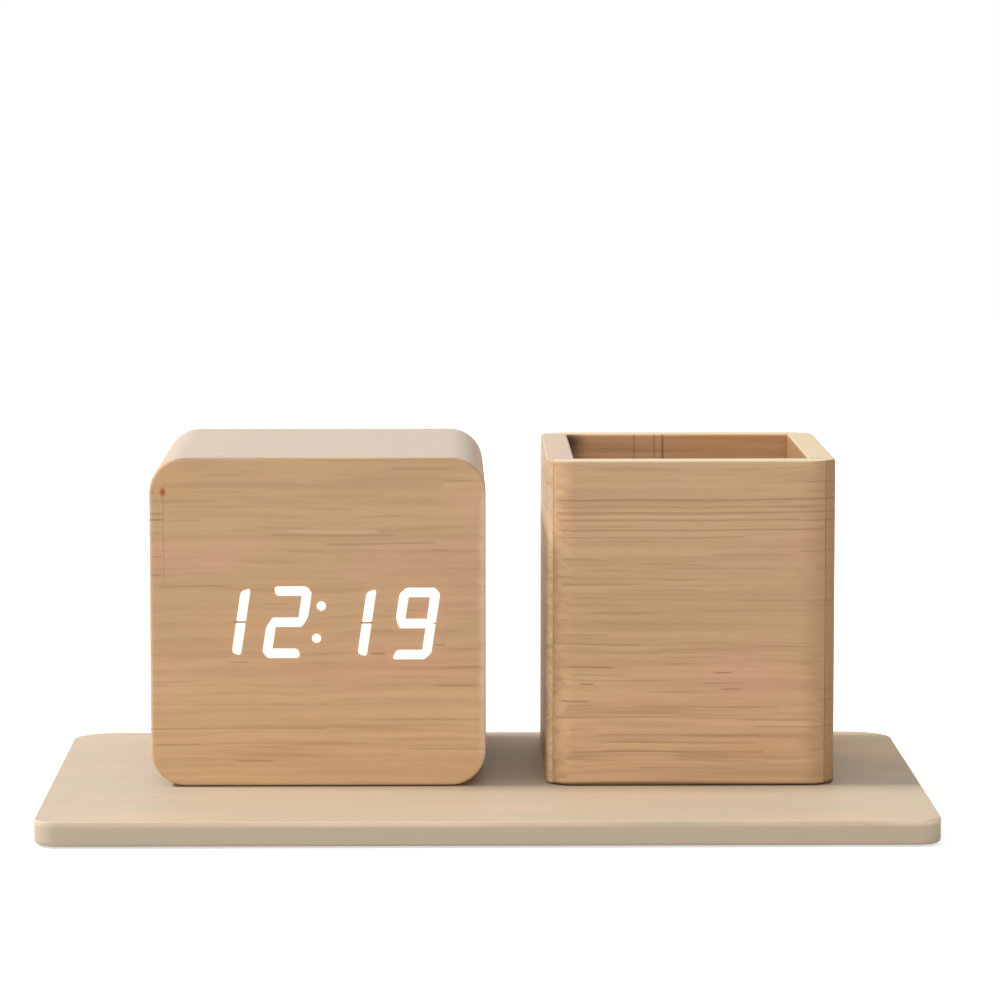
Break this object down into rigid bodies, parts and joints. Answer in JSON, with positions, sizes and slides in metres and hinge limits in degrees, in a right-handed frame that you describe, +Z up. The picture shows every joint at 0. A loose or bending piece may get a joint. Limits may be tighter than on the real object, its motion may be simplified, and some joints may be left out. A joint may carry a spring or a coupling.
{
  "type": "pen holder clock",
  "caption": "Desk set: a cube digital clock and a square open pen pot side by side on a flat wooden board, with rear push buttons, a power socket and a hinged battery door.",
  "frame": {"origin": "on the table, under the middle of the base board", "axes": "+X to the right seen from the front, along the board; +Y to the back; +Z up; the display faces -Y"},
  "size_m": [0.172, 0.11, 0.0704],
  "materials": {
    "bamboo": "satin oiled bamboo with fine horizontal grain",
    "pale_bamboo": "satin pale bamboo",
    "black_plastic": "fine spark-eroded texture",
    "button_plastic": "smooth satin",
    "white_plastic": "matte white",
    "digit_light": "warm white light that shows through the wood skin",
    "circuit_board": "green solder mask",
    "plated_steel": "nickel plated",
    "chip_plastic": "moulded epoxy",
    "rubber": "matte",
    "cell_wrap": "plain printed foil wrap",
    "red_sleeve": "soft wire sleeve",
    "black_sleeve": "soft wire sleeve"
  },
  "bodies": {
    "stand": {"base_board": "pale_bamboo", "foot_pad_1": "rubber", "foot_pad_2": "rubber", "foot_pad_3": "rubber", "foot_pad_4": "rubber", "clock_screw_front": "plated_steel", "clock_screw_back": "plated_steel", "pot_screw_front": "plated_steel", "pot_screw_back": "plated_steel", "pot_front_board": "bamboo", "pot_back_board": "bamboo", "pot_left_board": "bamboo", "pot_right_board": "bamboo", "pot_floor": "bamboo", "clock_housing": "bamboo", "front_panel": "bamboo", "diffuser_sheet": "white_plastic", "segment_reflector": "white_plastic", "display_board": "circuit_board", "display_screw_1": "plated_steel", "display_screw_2": "plated_steel", "display_screw_3": "plated_steel", "display_screw_4": "plated_steel", "display_ribbon": "white_plastic", "back_cover": "black_plastic", "cover_screw_1": "plated_steel", "cover_screw_2": "plated_steel", "cover_screw_3": "plated_steel", "cover_screw_4": "plated_steel", "battery_cell_1": "cell_wrap", "battery_cell_2": "cell_wrap", "battery_cell_3": "cell_wrap", "positive_contact": "plated_steel", "link_contact_left": "plated_steel", "link_contact_right": "plated_steel", "negative_contact": "plated_steel", "contact_spring_1": "plated_steel", "contact_spring_2": "plated_steel", "contact_spring_3": "plated_steel", "positive_lead": "red_sleeve", "negative_lead": "black_sleeve", "main_board": "circuit_board", "board_screw_1": "plated_steel", "board_screw_2": "plated_steel", "clock_chip": "chip_plastic", "buzzer": "chip_plastic", "microphone": "plated_steel", "power_jack": "chip_plastic", "set_switch": "chip_plastic", "up_switch": "chip_plastic", "down_switch": "chip_plastic"},
    "set_key": {"set_button": "button_plastic", "set_plunger": "white_plastic"},
    "up_key": {"up_button": "button_plastic", "up_plunger": "white_plastic"},
    "down_key": {"down_button": "button_plastic", "down_plunger": "white_plastic"},
    "door": {"battery_door": "black_plastic"}
  },
  "joints": [
    {"name": "set_press", "type": "slide", "parent": "stand", "child": "set_key", "axis": [0, -1, 0], "range_m": [0, 0.0005], "stiffness_N_per_m": 3000},
    {"name": "up_press", "type": "slide", "parent": "stand", "child": "up_key", "axis": [0, -1, 0], "range_m": [0, 0.0005], "stiffness_N_per_m": 3000},
    {"name": "down_press", "type": "slide", "parent": "stand", "child": "down_key", "axis": [0, -1, 0], "range_m": [0, 0.0005], "stiffness_N_per_m": 3000},
    {"name": "door_swing", "type": "hinge", "parent": "stand", "child": "door", "pos_m": [-0.033, 0.0494, 0.0151], "axis": [-1, 0, 0], "range_deg": [0, 75]}
  ]
}
